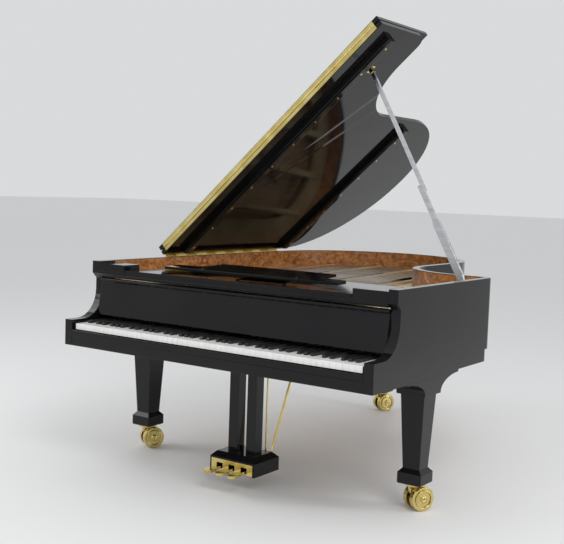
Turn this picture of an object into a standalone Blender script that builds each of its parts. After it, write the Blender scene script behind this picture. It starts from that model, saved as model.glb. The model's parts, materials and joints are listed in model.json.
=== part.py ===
"""A concert grand piano with its lid up, as separate pieces at their real size.

Metres, +Z up. The keyboard faces -Y and the treble is at +X. The origin is on the floor, under the
middle of the case. The lid stands open on its prop, its front flap is folded back on top of it, and
the music desk lies folded.
"""

import math

import bmesh
import bpy
from mathutils import Matrix, Vector

FIT_GAP = 0.0003

# Case
CASE_WIDTH = 1.600
CASE_LENGTH = 2.228
RIM_TOP = 0.930
RIM_BOTTOM = 0.557
RIM_WALL = 0.032
LEDGE_DEPTH = 0.163
SHOULDER_DEPTH = 0.895
TAIL_WIDTH = 1.100
CORNER_RADIUS = 0.055
BEND_RADIUS = 0.330
TAIL_RADIUS = 0.500
SPINE_RADIUS = 0.575
ARC_STEP = math.radians(5)
APRON_INSET = 0.010
APRON_HEIGHT = 0.058

# Arms
ARM_WALL = 0.042
ARM_DEPTH = 0.100
LEDGE_HEIGHT = 0.115
ARM_COVE_DEPTH = 0.114
ARM_COVE_HEIGHT = 0.127
ARM_STEP = 0.024
ARM_BLOCK_HEIGHT = 0.055
COVE_STEPS = 8

# Inner case
VENEER = 0.003
VENEER_TOP_GAP = 0.002
PLATE_BELOW_TOP = 0.092
PLATE_THICKNESS = 0.026
INNER_RIM_WIDTH = 0.055
SOUNDBOARD_HEIGHT = 0.208
SOUNDBOARD_THICKNESS = 0.009
BELLY_RAIL_DEPTH = 0.400
BELLY_RAIL_WIDTH = 0.060
BRACE_WIDTH = 0.060
BRACE_HEIGHT = 0.090
BRIDGE_HEIGHT = 0.030
BRIDGE_WIDTH = 0.034
PIN_BLOCK_FRONT = 0.130
PIN_BLOCK_REAR = 0.370
PIN_BLOCK_HEIGHT = 0.036
PLATE_FLANGE = 0.120
PLATE_WEB_REAR = 0.520
STRUT_WIDTH = 0.036
STRUT_HEIGHT = 0.012
STRUT_COUNT = 5

# Keyboard
KEYBED_THICKNESS = 0.043
KEYBED_REAR = 0.390
KEY_PITCH = 0.0287
WHITE_KEYS = 52
KEY_GAP = 0.001
KEY_TOP = 0.099
WHITE_HEIGHT = 0.026
WHITE_FRONT = 0.013
BLACK_SETBACK = 0.050
BLACK_WIDTH = 0.0150
BLACK_RISE = 0.012
BLACK_CLEARANCE = 0.0012
KEY_FIT = 0.0008
SLOT_END = 0.238
BANK_REAR = 0.283
KEY_REAR = 0.378
BALANCE_POINT = 0.263
KEY_DIP = 0.010
SLIP_HEIGHT = 0.027
SLIP_DEPTH = 0.012
FRAME_RAIL_HEIGHT = 0.018

# Fallboard and rail above it
FALLBOARD_LENGTH = 0.163
FALLBOARD_THICKNESS = 0.018
FALLBOARD_LIP = 0.012
FALLBOARD_PIVOT_DEPTH = 0.012
FALLBOARD_PIVOT_RISE = 0.034
FALLBOARD_LEAN = math.radians(10)
FRONT_RAIL_THICKNESS = 0.030
FRONT_RAIL_HEIGHT = 0.024
FRONT_RAIL_BELOW_TOP = 0.046
RAIL_BEAD = 0.004
RAIL_END_WIDTH = 0.157
RAIL_END_BELOW_TOP = 0.009

# Music desk
TRAY_THICKNESS = 0.014
TRAY_LENGTH = 0.420
TRAY_SIDE_GAP = 0.003
DESK_WIDTH = 0.920
DESK_TOP_WIDTH = 0.614
DESK_HEIGHT = 0.240
DESK_WING_HEIGHT = 0.090
DESK_THICKNESS = 0.012
DESK_HINGE_DEPTH = 0.115
DESK_HINGE_RISE = 0.009
DESK_REST_ANGLE = math.radians(2.5)
DESK_UNDERSIDE = 0.004
STRUT_LENGTH = 0.110
STRUT_PLATE_WIDTH = 0.240
STRUT_PLATE_THICKNESS = 0.005
KNOB_RADIUS = 0.006

# Lid
LID_THICKNESS = 0.020
LID_OVERHANG = 0.010
LID_ANGLE = math.radians(41.4)
LID_CLEARANCE = 0.006
FLAP_LINE_DEPTH = 0.487
FLAP_LENGTH = 0.460
FLAP_GAP = 0.0036
BARREL_RADIUS = 0.0030
PIN_RADIUS = 0.0014
PIN_CLEARANCE = 0.0004
LEAF = 0.0012
SPINE_BARREL_RADIUS = 0.0042
SPINE_LEAF_WIDTH = 0.022
KNUCKLES = 12
BATTEN_HEIGHT = 0.030
BATTEN_WIDTH = 0.055
FRONT_BATTEN_DEPTH = 0.620
REAR_BATTEN_DEPTH = 1.490
BATTEN_END_GAP = 0.040

# Prop
PROP_DEPTH = 0.700
PROP_BASE_INSET = 0.022
PROP_BASE_BELOW_TOP = 0.018
PROP_LID_REACH = 1.378
PROP_LID_DROP = 0.013
STICK_SHARE = 0.45
STICK_WIDTH = 0.034
STICK_TIP_WIDTH = 0.022
STICK_STEP_SHARE = 0.60
STICK_THICKNESS = 0.016
ROD_WIDTH = 0.016
PROP_SIDE_GAP = 0.0075
PROP_OVERLAP = 0.030
EAR = 0.005
PROP_PIN_RADIUS = 0.004
PROP_PIN_CLEARANCE = 0.0008

# Legs and casters
LEG_SETBACK_X = 0.065
LEG_DEPTH = 0.330
TAIL_LEG_X = -0.285
TAIL_LEG_FROM_TAIL = 0.200
LEG_TOP_WIDTH = 0.107
LEG_LOW_WIDTH = 0.076
FERRULE_WIDTH = 0.108
FERRULE_TOP = 0.160
FERRULE_SHOULDER = 0.018
LEG_FOOT = 0.113
LEG_HEAD_HEIGHT = 0.072
LEG_HEAD_WIDTH = 0.130
LEG_HEAD_LENGTH = 0.460
LEG_HEAD_FOOT_LENGTH = 0.140
WHEEL_DIAMETER = 0.102
WHEEL_WIDTH = 0.030
WHEEL_GAP = 0.025
WHEEL_SIDES = 20
AXLE_RADIUS = 0.006
AXLE_CLEARANCE = 0.0008
CASTER_TRAIL = 0.022
CASTER_WEB = 0.018
CASTER_PLATE_RADIUS = 0.042
CASTER_PLATE = 0.008
CASTER_TURN = {"treble": math.radians(-30), "bass": math.radians(-30), "tail": math.radians(-30)}

# Lyre and pedals
LYRE_DEPTH = 0.150
POST_WIDTH = 0.050
POST_SPACING = 0.096
LYRE_HEAD_WIDTH = 0.240
LYRE_HEAD_HEIGHT = 0.030
LYRE_HEAD_LENGTH = 0.090
BOX_WIDTH = 0.240
BOX_LENGTH = 0.180
BOX_BOTTOM = 0.067
BOX_HEIGHT = 0.058
BOX_RIDGE = 0.022
PEDAL_SPACING = 0.065
PEDAL_WIDTH = 0.022
PEDAL_TOE_WIDTH = 0.044
PEDAL_THICKNESS = 0.012
PEDAL_REACH = 0.105
PEDAL_PIVOT_DEPTH = 0.080
PEDAL_SLOT_GAP = 0.005
PEDAL_SLOT_HEIGHT = 0.036
PEDAL_HEIGHT = 0.011
PEDAL_PLATE = 0.0025
PEDAL_ROD_RADIUS = 0.004
PEDAL_ROD_DEPTH = 0.155
PEDAL_ROD_TRAVEL_GAP = 0.012
BRACE_ROD_RADIUS = 0.006
BRACE_REACH = 0.150
BRACE_FOOT_SPREAD = 0.060
BRACE_HEAD_SPREAD = 0.100

# Places that follow from the sizes above
HALF_WIDTH = CASE_WIDTH / 2
FRONT_Y = -CASE_LENGTH / 2
TAIL_Y = CASE_LENGTH / 2
ARM_Y = FRONT_Y + LEDGE_DEPTH
SHOULDER_Y = ARM_Y + SHOULDER_DEPTH
TAIL_X = -HALF_WIDTH + TAIL_WIDTH
ARM_BACK_Y = ARM_Y + ARM_DEPTH
LEDGE_Z = RIM_BOTTOM + LEDGE_HEIGHT
SOUNDBOARD_Z = RIM_BOTTOM + SOUNDBOARD_HEIGHT
PLATE_Z = RIM_TOP - PLATE_BELOW_TOP
KEYBED_Z = RIM_BOTTOM + KEYBED_THICKNESS
KEY_TOP_Z = RIM_BOTTOM + KEY_TOP
KEY_BOTTOM_Z = KEY_TOP_Z - WHITE_HEIGHT
BELLY_Y = ARM_Y + BELLY_RAIL_DEPTH
HINGE_X = -HALF_WIDTH - SPINE_BARREL_RADIUS - 0.0018
HINGE_Z = RIM_TOP + FIT_GAP + SPINE_BARREL_RADIUS
LID_UNDER = RIM_TOP + LID_CLEARANCE
LEG_TOP_Z = RIM_BOTTOM - FIT_GAP


def material(name, color, metallic=0.0, roughness=0.4):
    """A plain surface of one colour."""
    made = bpy.data.materials.new(name)
    made.use_nodes = True
    shader = made.node_tree.nodes["Principled BSDF"]
    shader.inputs["Base Color"].default_value = (*color, 1.0)
    shader.inputs["Metallic"].default_value = metallic
    shader.inputs["Roughness"].default_value = roughness
    return made


def add(name, mesh, look):
    """An object for a finished bmesh."""
    bmesh.ops.recalc_face_normals(mesh, faces=mesh.faces)
    data = bpy.data.meshes.new(name)
    mesh.to_mesh(data)
    mesh.free()
    made = bpy.data.objects.new(name, data)
    bpy.context.scene.collection.objects.link(made)
    if look:
        data.materials.append(look)
    return made


def prism(name, outline, low, high, look, axis="Z"):
    """A flat outline pushed along an axis: (x, y) along Z, (y, z) along X, or (x, z) along Y."""
    mesh = bmesh.new()
    corners = [mesh.verts.new(place_on(point, low, axis)) for point in outline]
    face = mesh.faces.new(corners)
    pushed = bmesh.ops.extrude_face_region(mesh, geom=[face])["geom"]
    step = Vector(place_on((0, 0), high - low, axis))
    moved = [item for item in pushed if isinstance(item, bmesh.types.BMVert)]
    bmesh.ops.translate(mesh, verts=moved, vec=step)
    return add(name, mesh, look)


def place_on(point, along, axis):
    """The 3D point of a flat one, at a distance along the axis."""
    u, v = point
    return {"Z": (u, v, along), "X": (along, u, v), "Y": (u, along, v)}[axis]


def block(name, low, high, look):
    """A box between two corners."""
    outline = [(low[0], low[1]), (high[0], low[1]), (high[0], high[1]), (low[0], high[1])]
    return prism(name, outline, low[2], high[2], look)


def turned(name, profile, sides, look, axis="X", centre=(0, 0, 0)):
    """A turned body: (distance along the axis, radius) points spun round it, one side flat below."""
    mesh = bmesh.new()
    rings = []
    for along, radius in profile:
        ring = []
        for side in range(sides if radius else 1):
            angle = 2 * math.pi * (side + 0.5) / sides
            around = (radius * math.sin(angle), -radius * math.cos(angle))
            ring.append(mesh.verts.new(Vector(place_on(around, along, axis)) + Vector(centre)))
        rings.append(ring)
    for ring, following in zip(rings, rings[1:]):
        join_rings(mesh, ring, following)
    for ring in (rings[0], rings[-1]):
        if len(ring) > 1:
            mesh.faces.new(ring)
    return add(name, mesh, look)


def join_rings(mesh, ring, following):
    """The faces between two rings of points, either of which may be a single point on the axis."""
    sides = max(len(ring), len(following))
    for side in range(sides):
        corners = [ring[side % len(ring)], ring[(side + 1) % len(ring)]]
        corners += [following[(side + 1) % len(following)], following[side % len(following)]]
        mesh.faces.new(list(dict.fromkeys(corners)))


def rod(name, start, end, radius, look, sides=8):
    """A round bar between two points."""
    start, end = Vector(start), Vector(end)
    length = (end - start).length
    made = turned(name, [(0, radius), (length, radius)], sides, look, axis="Z")
    turn = (end - start).to_track_quat("Z", "Y").to_matrix().to_4x4()
    made.data.transform(Matrix.Translation(start) @ turn)
    return made


def lofted(name, levels, look, centre=(0, 0)):
    """A square column through (height, width in X, width in Y) levels."""
    mesh = bmesh.new()
    rings = []
    for height, width_x, width_y in levels:
        corners = [(-1, -1), (1, -1), (1, 1), (-1, 1)]
        ring = [
            mesh.verts.new((centre[0] + sx * width_x / 2, centre[1] + sy * width_y / 2, height))
            for sx, sy in corners
        ]
        rings.append(ring)
    for ring, following in zip(rings, rings[1:]):
        join_rings(mesh, ring, following)
    mesh.faces.new(rings[0])
    mesh.faces.new(rings[-1])
    return add(name, mesh, look)


def combine(body, other, operation):
    """A Boolean of a body with a helper, which stays in the scene as a hidden guide."""
    other.hide_render = True
    other.display_type = "WIRE"
    other.data.materials.clear()
    change = body.modifiers.new(operation.lower(), "BOOLEAN")
    change.operation = operation
    change.solver = "EXACT"
    change.object = other
    return body


def join(body, *others):
    """The body with others united to it."""
    for other in others:
        combine(body, other, "UNION")
    return body


def cut(body, *others):
    """The body with others cut out of it."""
    for other in others:
        combine(body, other, "DIFFERENCE")
    return body


def centre_on(body, origin):
    """Moves a body's origin to a point, with its shape left where it is."""
    helpers = [change.object for change in body.modifiers if change.type == "BOOLEAN"]
    for item in [body, *helpers]:
        item.data.transform(Matrix.Translation(-Vector(origin)))
        item.location = origin
    return body


def carry(empty, *bodies):
    """Bodies modelled in the empty's own frame, carried by it."""
    for body in bodies:
        helpers = [change.object for change in body.modifiers if change.type == "BOOLEAN"]
        for item in [body, *helpers]:
            item.parent = empty


def axis_empty(name, location, rotation=(0, 0, 0), parent=None):
    """An empty on a joint's axis."""
    made = bpy.data.objects.new(name, None)
    made.empty_display_size = 0.1
    made.location = location
    made.rotation_euler = rotation
    made.parent = parent
    bpy.context.scene.collection.objects.link(made)
    return made


def arc(centre, radius, start, end, squash=1.0):
    """Points on an arc, both ends included."""
    steps = max(2, math.ceil(abs(end - start) / ARC_STEP))
    angles = [start + (end - start) * step / steps for step in range(steps + 1)]
    return [
        (centre[0] + radius * math.cos(angle), centre[1] + radius * squash * math.sin(angle))
        for angle in angles
    ]


def case_line(inset, front_y, spine_inset=None):
    """The case's plan line from the treble front round the tail to the bass front, moved inwards."""
    spine_inset = inset if spine_inset is None else spine_inset
    right = HALF_WIDTH - inset
    shoulder = SHOULDER_Y - inset
    waist = TAIL_X - inset
    tail = TAIL_Y - inset
    left = -HALF_WIDTH + spine_inset
    corner = max(CORNER_RADIUS - inset, 0.002)
    bend = BEND_RADIUS + inset
    tail_round = TAIL_RADIUS - inset
    spine_round = SPINE_RADIUS - inset
    quarter = math.pi / 2
    points = [(right, front_y)]
    points += arc((right - corner, shoulder - corner), corner, 0, quarter)
    points += arc((waist + bend, shoulder + bend), bend, -quarter, -2 * quarter)
    points += arc((waist - tail_round, tail - tail_round), tail_round, 0, quarter)
    points += arc((left + spine_round, tail - spine_round), spine_round, quarter, 2 * quarter)
    points.append((left, front_y))
    return points


def case_band(outer_inset, inner_inset, front_y):
    """A wall that follows the case's plan line and is open at the front."""
    return case_line(outer_inset, front_y) + case_line(inner_inset, front_y)[::-1]


def clear_scene():
    for item in list(bpy.data.objects):
        bpy.data.objects.remove(item, do_unlink=True)


def make_looks():
    """The finishes, by name."""
    return {
        "lacquer": material("black_lacquer", (0.006, 0.006, 0.007), roughness=0.08),
        "burl": material("burl_veneer", (0.42, 0.17, 0.05), roughness=0.22),
        "frame_wood": material("frame_wood", (0.38, 0.22, 0.11), roughness=0.55),
        "spruce": material("spruce", (0.70, 0.50, 0.27), roughness=0.5),
        "maple": material("maple", (0.55, 0.36, 0.18), roughness=0.45),
        "gold": material("gold_bronze_plate", (0.80, 0.66, 0.34), metallic=0.6, roughness=0.35),
        "brass": material("brass", (0.72, 0.58, 0.20), metallic=1.0, roughness=0.22),
        "steel": material("polished_steel", (0.62, 0.63, 0.65), metallic=1.0, roughness=0.25),
        "ivory": material("white_key", (0.86, 0.86, 0.84), roughness=0.25),
        "ebony": material("black_key", (0.012, 0.012, 0.013), roughness=0.45),
    }


def arm_profile_cutter():
    """What is cut away in front of the arms: over the ledge, the cove and the step under the top block."""
    front = FRONT_Y - 0.05
    top = RIM_TOP + 0.05
    block_foot = RIM_TOP - ARM_BLOCK_HEIGHT
    cove_top = LEDGE_Z + ARM_COVE_HEIGHT
    cove_start_y = ARM_Y + ARM_STEP - ARM_COVE_DEPTH
    outline = [(front, top), (ARM_Y, top), (ARM_Y, block_foot)]
    outline.append((ARM_Y + ARM_STEP, block_foot - ARM_STEP))
    for step in range(COVE_STEPS + 1):
        angle = math.pi / 2 * step / COVE_STEPS
        y = cove_start_y + ARM_COVE_DEPTH * math.cos(angle)
        outline.append((y, cove_top - ARM_COVE_HEIGHT * math.sin(angle)))
    outline.append((front, LEDGE_Z))
    reach = HALF_WIDTH + 0.05
    return prism("arm_profile_cutter", outline, -reach, reach, None, axis="X")


def make_case(looks):
    lacquer = looks["lacquer"]
    arm_inner = HALF_WIDTH - ARM_WALL
    outline = case_line(0, FRONT_Y)
    outline += [(-arm_inner, FRONT_Y), (-arm_inner, ARM_BACK_Y)]
    outline += case_line(RIM_WALL, ARM_BACK_Y)[::-1]
    outline += [(arm_inner, ARM_BACK_Y), (arm_inner, FRONT_Y)]
    rim = prism("outer_rim", outline, RIM_BOTTOM, RIM_TOP, lacquer)
    apron_front = ARM_Y + LEG_DEPTH + LEG_HEAD_LENGTH / 2
    apron = case_band(-0.03, APRON_INSET, apron_front)
    low = RIM_BOTTOM - 0.02
    apron_cutter = prism("apron_cutter", apron, low, RIM_BOTTOM + APRON_HEIGHT, None)
    cut(rim, arm_profile_cutter(), apron_cutter)

    skin = RIM_WALL + FIT_GAP
    veneer = case_band(skin, skin + VENEER, ARM_BACK_Y + 0.01)
    prism("rim_veneer", veneer, PLATE_Z + FIT_GAP, RIM_TOP - VENEER_TOP_GAP, looks["burl"])

    inner = case_band(skin, skin + INNER_RIM_WIDTH, BELLY_Y + BELLY_RAIL_WIDTH + FIT_GAP)
    prism("inner_rim", inner, RIM_BOTTOM, SOUNDBOARD_Z - FIT_GAP, looks["frame_wood"])
    make_braces(looks)

    half_bed = arm_inner - FIT_GAP
    low = (-half_bed, FRONT_Y, RIM_BOTTOM)
    block("keybed", low, (half_bed, ARM_Y + KEYBED_REAR, KEYBED_Z), lacquer)
    low = (-half_bed, FRONT_Y, KEYBED_Z + FIT_GAP)
    block("key_slip", low, (half_bed, FRONT_Y + SLIP_DEPTH, KEYBED_Z + SLIP_HEIGHT), lacquer)
    keys_half = WHITE_KEYS * KEY_PITCH / 2
    for side, name in ((-1, "key_block_bass"), (1, "key_block_treble")):
        near, far = sorted((side * (keys_half + KEY_FIT), side * half_bed))
        low = (near, FRONT_Y + SLIP_DEPTH + FIT_GAP, KEYBED_Z + FIT_GAP)
        block(name, low, (far, ARM_Y - KEY_FIT, KEY_TOP_Z), lacquer)


def make_braces(looks):
    """The belly rail behind the keyboard and three beams that fan out to the tail."""
    wood = looks["frame_wood"]
    inside = HALF_WIDTH - RIM_WALL - FIT_GAP
    low = (-inside, BELLY_Y, RIM_BOTTOM)
    high = (inside, BELLY_Y + BELLY_RAIL_WIDTH, SOUNDBOARD_Z - FIT_GAP)
    braces = block("case_braces", low, high, wood)
    start_y = BELLY_Y + BELLY_RAIL_WIDTH / 2
    ends = (((-0.45, start_y), (-0.50, TAIL_Y)), ((-0.10, start_y), (-0.27, TAIL_Y)), ((0.25, start_y), (-0.02, TAIL_Y)))
    reach = RIM_WALL + 2 * FIT_GAP + INNER_RIM_WIDTH
    for number, (start, end) in enumerate(ends):
        outline = beam_outline(start, end, BRACE_WIDTH)
        beam = prism(f"brace_beam_{number}", outline, RIM_BOTTOM + 0.001, RIM_BOTTOM + BRACE_HEIGHT, None)
        room = case_line(reach, BELLY_Y + BELLY_RAIL_WIDTH / 3)
        bound = prism(f"brace_room_{number}", room, RIM_BOTTOM - 0.05, RIM_TOP, None)
        combine(beam, bound, "INTERSECT")
        join(braces, beam)


def beam_outline(start, end, width):
    """A straight beam in plan."""
    start, end = Vector(start), Vector(end)
    along = (end - start).normalized()
    side = Vector((-along.y, along.x)) * width / 2
    return [tuple(start - side), tuple(end - side), tuple(end + side), tuple(start + side)]


def make_inside(looks):
    """Soundboard, bridges, pin block, cast plate and the action's frame."""
    edge = RIM_WALL + 2 * FIT_GAP
    board = case_line(edge, BELLY_Y)
    board_top = SOUNDBOARD_Z + SOUNDBOARD_THICKNESS
    prism("soundboard", board, SOUNDBOARD_Z, board_top, looks["spruce"])

    bridge_low = board_top + FIT_GAP
    bridge_high = bridge_low + BRIDGE_HEIGHT
    long_line = curve_points((0.64, ARM_Y + 0.60), (0.20, ARM_Y + 0.92), (-0.42, ARM_Y + 1.60), 14)
    prism("long_bridge", ribbon(long_line, BRIDGE_WIDTH), bridge_low, bridge_high, looks["maple"])
    bass_line = curve_points((-0.70, ARM_Y + 1.50), (-0.60, ARM_Y + 1.72), (-0.30, ARM_Y + 1.88), 8)
    prism("bass_bridge", ribbon(bass_line, BRIDGE_WIDTH), bridge_low, bridge_high, looks["maple"])

    inside = HALF_WIDTH - edge
    plate_low = PLATE_Z - PLATE_THICKNESS
    low = (-inside + 0.02, ARM_Y + PIN_BLOCK_FRONT, plate_low - FIT_GAP - PIN_BLOCK_HEIGHT)
    high = (inside - 0.02, ARM_Y + PIN_BLOCK_REAR, plate_low - FIT_GAP)
    block("pin_block", low, high, looks["maple"])
    make_plate(looks, edge, plate_low)
    make_action(looks)


def curve_points(start, middle, end, steps):
    """Points on a smooth curve that starts, bends towards the middle point and ends."""
    points = []
    for step in range(steps + 1):
        t = step / steps
        weights = ((1 - t) ** 2, 2 * t * (1 - t), t**2)
        points.append(tuple(sum(w * p[i] for w, p in zip(weights, (start, middle, end))) for i in (0, 1)))
    return points


def ribbon(line, width):
    """A band of one width along a plan line."""
    left, right = [], []
    for index, point in enumerate(line):
        before = Vector(line[max(index - 1, 0)])
        after = Vector(line[min(index + 1, len(line) - 1)])
        along = (after - before).normalized()
        side = Vector((-along.y, along.x)) * width / 2
        left.append(tuple(Vector(point) + side))
        right.append(tuple(Vector(point) - side))
    return left + right[::-1]


def strut_lines():
    """The plate's struts in plan, from the web to the tail, fanned like the strings."""
    lines = []
    for number in range(STRUT_COUNT):
        share = number / (STRUT_COUNT - 1)
        front_x = -HALF_WIDTH * 0.62 + share * CASE_WIDTH * 0.66
        rear_x = front_x - 0.14 - 0.06 * share
        lines.append(((front_x, ARM_Y + PIN_BLOCK_REAR), (rear_x, TAIL_Y)))
    return lines


def make_plate(looks, edge, plate_low):
    """The cast plate: a web over the pin block, a flange round the case and raised struts between."""
    outline = case_line(edge, ARM_Y + PIN_BLOCK_FRONT - 0.005)
    plate = prism("plate", outline, plate_low, PLATE_Z, looks["gold"])
    hollow_line = case_line(edge + PLATE_FLANGE, ARM_Y + PLATE_WEB_REAR)
    hollow = prism("plate_hollow", hollow_line, plate_low - 0.02, PLATE_Z + 0.02, None)
    ribs = []
    for number, (start, end) in enumerate(strut_lines()):
        bar = beam_outline(start, end, STRUT_WIDTH)
        keep = prism(f"plate_strut_{number}", bar, plate_low - 0.03, PLATE_Z + 0.03, None)
        cut(hollow, keep)
        rib_line = beam_outline(start, end, STRUT_WIDTH * 0.6)
        rib = prism(f"plate_rib_{number}", rib_line, PLATE_Z - 0.004, PLATE_Z + STRUT_HEIGHT, None)
        bound_line = case_line(edge + PLATE_FLANGE * 0.4, ARM_Y + PIN_BLOCK_FRONT)
        bound = prism(f"plate_rib_room_{number}", bound_line, plate_low, RIM_TOP, None)
        combine(rib, bound, "INTERSECT")
        ribs.append(rib)
    cut(plate, hollow)
    join(plate, *ribs)


def make_action(looks):
    """The frame that carries the hammers, on two brackets that stand on the keybed."""
    half = WHITE_KEYS * KEY_PITCH / 2 - 0.010
    front_y = ARM_Y + 0.150
    rear_y = ARM_Y + 0.340
    low_z = KEY_TOP_Z + 0.018
    outline = [(front_y, low_z), (rear_y, low_z), (rear_y, low_z + 0.030), (rear_y - 0.05, low_z + 0.075)]
    outline += [(rear_y - 0.08, low_z + 0.075), (front_y, low_z + 0.030)]
    stack = prism("action_frame", outline, -half, half, looks["maple"], axis="X")
    for side, name in ((-1, "action_bracket_bass"), (1, "action_bracket_treble")):
        near, far = sorted((side * (half - 0.014), side * half))
        low = (near, front_y + 0.01, KEYBED_Z + FIT_GAP)
        join(stack, block(name, low, (far, rear_y - 0.01, low_z + 0.02), None))


def key_edge(number):
    """The left side of white key number 0 to 52, from the bass."""
    return (number - WHITE_KEYS / 2) * KEY_PITCH


def black_at(edge):
    """The middle of the black key at the boundary left of white key number edge, or None."""
    letter = "ABCDEFG"[(edge - 1) % 7]
    if edge <= 0 or edge >= WHITE_KEYS or letter in "BE":
        return None
    shift = {"C": -1, "D": 1, "F": -1, "G": 0, "A": 1}[letter]
    return key_edge(edge) + shift * 0.0030


def side_points(edge, side, front, rear):
    """One side of a white key in plan, front to rear, cut back where a black key stands beside it."""
    near = key_edge(edge) + side * KEY_GAP / 2
    middle = black_at(edge)
    if middle is None:
        return [(near, front), (near, rear)]
    tail = middle + side * (BLACK_WIDTH / 2 + BLACK_CLEARANCE)
    notch = front + BLACK_SETBACK - BLACK_CLEARANCE
    return [(near, front), (near, notch), (tail, notch), (tail, rear)]


def white_outline(first, last, rear, slot_end=None):
    """White keys first to last in plan. With a slot end they are joined behind it."""
    front = FRONT_Y + WHITE_FRONT
    points = side_points(first, 1, front, rear)[::-1]
    for edge in range(first + 1, last + 1):
        points += side_points(edge, -1, front, slot_end)
        points += side_points(edge, 1, front, slot_end)[::-1]
    return points + side_points(last + 1, -1, front, rear)


def black_profile(rear):
    """A black key from the side, with its sloping front."""
    front = FRONT_Y + WHITE_FRONT + BLACK_SETBACK
    top = KEY_TOP_Z + BLACK_RISE
    points = [(front, KEY_BOTTOM_Z), (rear, KEY_BOTTOM_Z), (rear, top)]
    return points + [(front + 0.006, top), (front, top - 0.008)]


def black_bank(name, first, last, look):
    """Black keys joined by a rail that lies on the white keys' tails, under the fallboard."""
    front = FRONT_Y + WHITE_FRONT + BLACK_SETBACK
    slot_end = FRONT_Y + SLOT_END
    rear = FRONT_Y + BANK_REAR
    middles = [black_at(edge) for edge in range(first, last + 2) if black_at(edge) is not None]
    half = BLACK_WIDTH / 2
    points = [(middles[-1] + half, rear), (middles[0] - half, rear)]
    for middle in middles:
        points += [(middle - half, slot_end), (middle - half, front + 0.003)]
        points += [(middle + half, front + 0.003), (middle + half, slot_end)]
    points = [point for index, point in enumerate(points) if index not in (2, len(points) - 1)]
    top = KEY_TOP_Z + BLACK_RISE
    bank = prism(name, points, KEY_TOP_Z + KEY_FIT, top, look)
    mesh = bmesh.new()
    for middle in middles:
        stem_low = Vector((middle - half + 0.0006, front, KEY_BOTTOM_Z + 0.004))
        stem_high = Vector((middle + half - 0.0006, slot_end - 0.003, KEY_TOP_Z + 0.004))
        made = bmesh.ops.create_cube(mesh, size=1.0)["verts"]
        bmesh.ops.scale(mesh, vec=stem_high - stem_low, verts=made)
        bmesh.ops.translate(mesh, vec=(stem_low + stem_high) / 2, verts=made)
    return join(bank, add(name + "_stems", mesh, None))


def make_keys(looks):
    """88 keys: five from middle C upwards are free to move, and the others are joined in banks."""
    ivory, ebony = looks["ivory"], looks["ebony"]
    middle_c = 23
    last_free = middle_c + 2
    rear = FRONT_Y + BANK_REAR
    slot_end = FRONT_Y + SLOT_END
    for name, first, last in (("bass", 0, middle_c - 1), ("treble", last_free + 1, WHITE_KEYS - 1)):
        outline = white_outline(first, last, rear, slot_end)
        prism(f"white_keys_{name}", outline, KEY_BOTTOM_Z, KEY_TOP_Z, ivory)
        black_bank(f"black_keys_{name}", first + 1, last - 1 + (name == "bass"), ebony)
    pivot = (0, FRONT_Y + BALANCE_POINT, KEY_BOTTOM_Z)
    rear = FRONT_Y + KEY_REAR
    for number, letter in ((middle_c, "c4"), (middle_c + 1, "d4"), (middle_c + 2, "e4")):
        outline = white_outline(number, number, rear)
        key = prism(f"key_{letter}", outline, KEY_BOTTOM_Z, KEY_TOP_Z, ivory)
        centre_on(key, (key_edge(number + 0.5), pivot[1], pivot[2]))
    for edge, letter in ((middle_c + 1, "c_sharp4"), (middle_c + 2, "d_sharp4")):
        middle = black_at(edge)
        half = BLACK_WIDTH / 2
        key = prism(f"key_{letter}", black_profile(rear), middle - half, middle + half, ebony, axis="X")
        centre_on(key, (middle, pivot[1], pivot[2]))
    make_key_frame(looks)


def make_key_frame(looks):
    """The frame under the keys: front, balance and back rails between two end rails."""
    half = WHITE_KEYS * KEY_PITCH / 2 - 0.030
    base = KEYBED_Z + FIT_GAP
    rest = KEY_BOTTOM_Z - 0.0006
    front = FRONT_Y + SLIP_DEPTH + 0.004
    rails = (("front", 0.0, 0.030, base + FRAME_RAIL_HEIGHT), ("balance", BALANCE_POINT - 0.020, 0.008, rest),
             ("back", KEY_REAR - 0.044, 0.024, rest))
    length = KEY_REAR - SLIP_DEPTH
    low = (-half, front, base)
    frame = block("key_frame", low, (-half + 0.03, front + length, base + 0.012), looks["maple"])
    end = block("key_frame_end", (half - 0.03, front, base), (half, front + length, base + 0.012), None)
    parts = [end]
    for name, offset, width, top in rails:
        low = (-half + 0.002, front + offset + 0.0006, base)
        high = (half - 0.002, front + offset + width, top)
        parts.append(block(f"key_frame_{name}", low, high, None))
    parts = parts[1:] + parts[:1]
    join(frame, *parts)


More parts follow.
